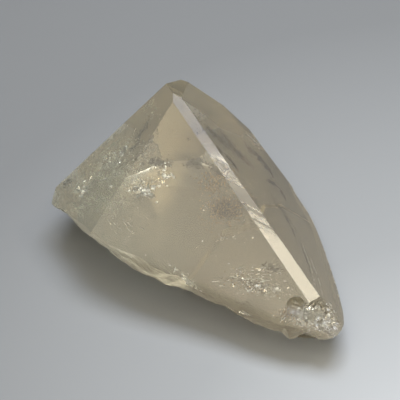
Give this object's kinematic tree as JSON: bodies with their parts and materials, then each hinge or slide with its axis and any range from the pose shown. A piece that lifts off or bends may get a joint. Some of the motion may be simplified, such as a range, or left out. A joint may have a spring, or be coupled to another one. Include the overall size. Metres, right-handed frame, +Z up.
{
  "type": "rough topaz crystal",
  "caption": "Rough clear crystal end with flat sloping faces, a narrow bevelled ridge and broken sides, lying on a flat cleavage face.",
  "frame": {"origin": "under the middle of the stone's box, at the level of the flat cleavage face that it rests on", "axes": "+X along the longest extent, from the left corner to the low broken tip; +Y to the back, towards the apex; +Z up from the resting face"},
  "size_m": [0.043, 0.037, 0.0219],
  "materials": {
    "topaz": "clear, faintly olive to champagne, bright on natural faces and glassy on broken ones"
  },
  "bodies": {
    "root": {"topaz_crystal": "topaz"}
  },
  "joints": []
}
